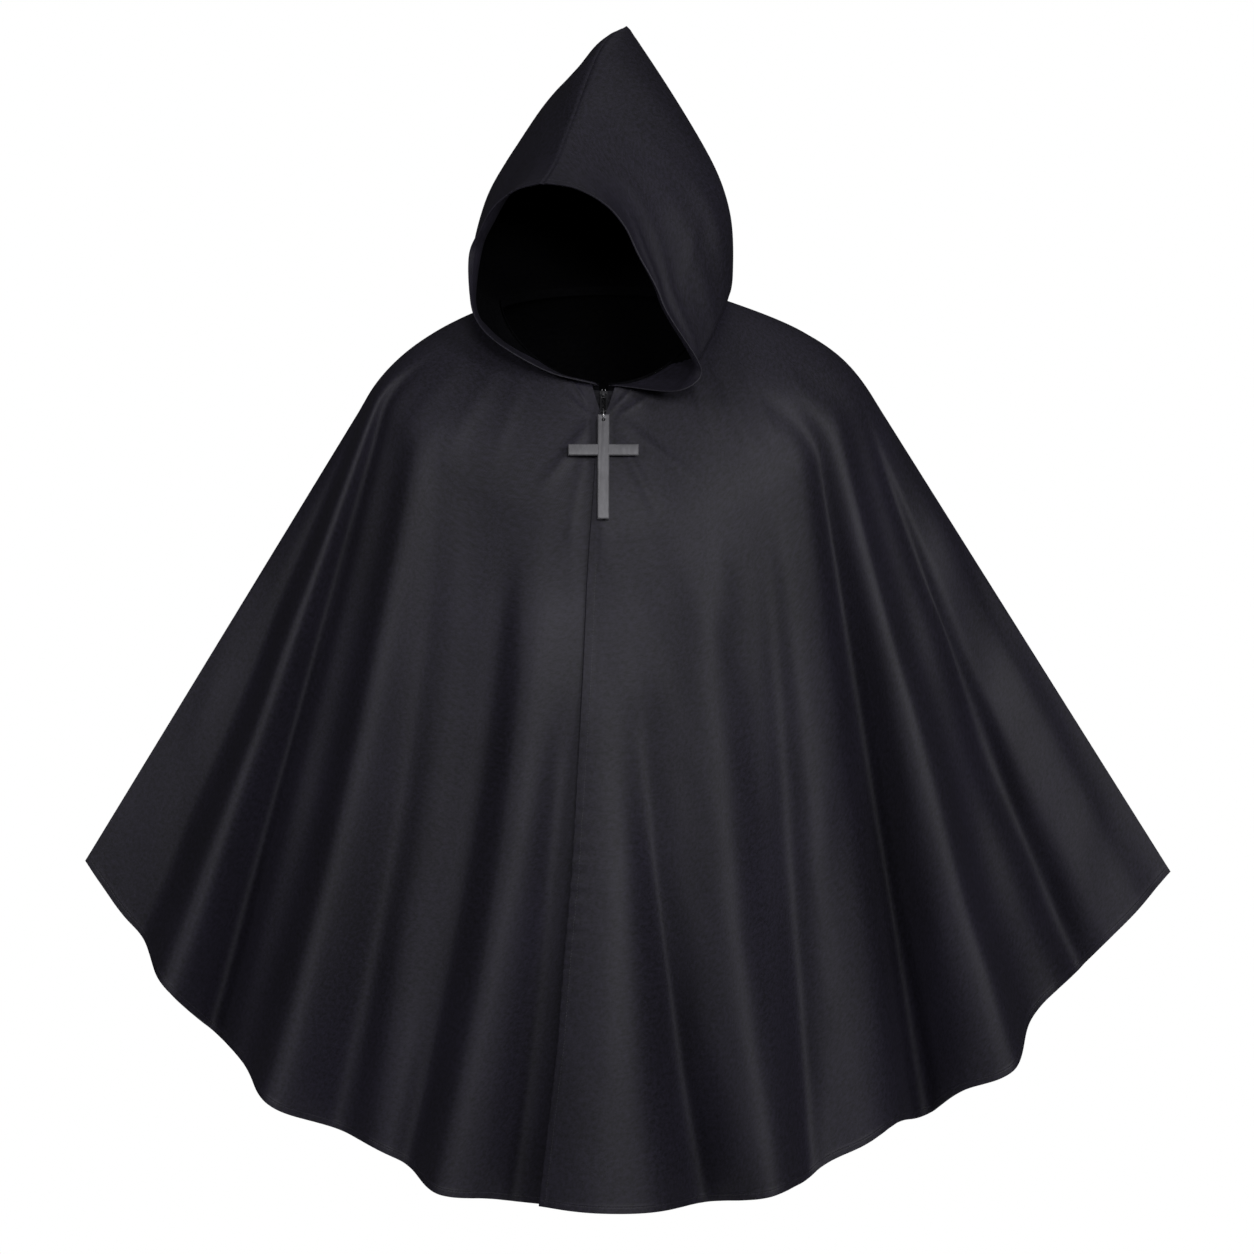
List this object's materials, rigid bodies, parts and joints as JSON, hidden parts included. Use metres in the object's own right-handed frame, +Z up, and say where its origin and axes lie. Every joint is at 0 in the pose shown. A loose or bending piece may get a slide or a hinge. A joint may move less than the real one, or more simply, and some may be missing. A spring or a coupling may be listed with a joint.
{
  "type": "hooded cape",
  "caption": "Hip-length hooded cape held out as if worn, with a peaked hood, lapped front, short neck zip and a plain cross hanging from the zip pull.",
  "frame": {"origin": "middle of the neck, at the height where the neck meets the shoulders, where the wearer holds the cape", "axes": "+Z up, -Y the way the front faces, +X the wearer's left"},
  "size_m": [1.198, 0.4975, 1.2681],
  "materials": {
    "cloth": "black twill with a soft sheen",
    "tape": "matt black woven tape",
    "teeth": "black moulded coil",
    "slider_metal": "dark enamelled metal",
    "grey_metal": "dull grey cast metal"
  },
  "bodies": {
    "cape": {"front_right": "cloth", "front_left": "cloth", "back": "cloth", "hood_right": "cloth", "hood_left": "cloth", "zip_tape_right": "tape", "zip_tape_left": "tape", "zip_chain": "teeth", "zip_slider": "slider_metal"},
    "pull": {"zip_pull": "slider_metal"},
    "ring": {"cross_ring": "grey_metal"},
    "pendant": {"cross": "grey_metal"}
  },
  "joints": [
    {"name": "pull_flip", "type": "hinge", "parent": "cape", "child": "pull", "pos_m": [-0.025, -0.10535, -0.09871], "axis": [-1, 0, 0], "range_deg": [0, 75]},
    {"name": "ring_swing", "type": "hinge", "parent": "pull", "child": "ring", "pos_m": [-0.025, -0.12145, -0.11708], "axis": [-1, 0, 0], "range_deg": [0, 35]},
    {"name": "cross_sway", "type": "hinge", "parent": "ring", "child": "pendant", "pos_m": [-0.025, -0.1246, -0.1266], "axis": [0, -0.9494, 0.314], "range_deg": [-30, 30]}
  ]
}
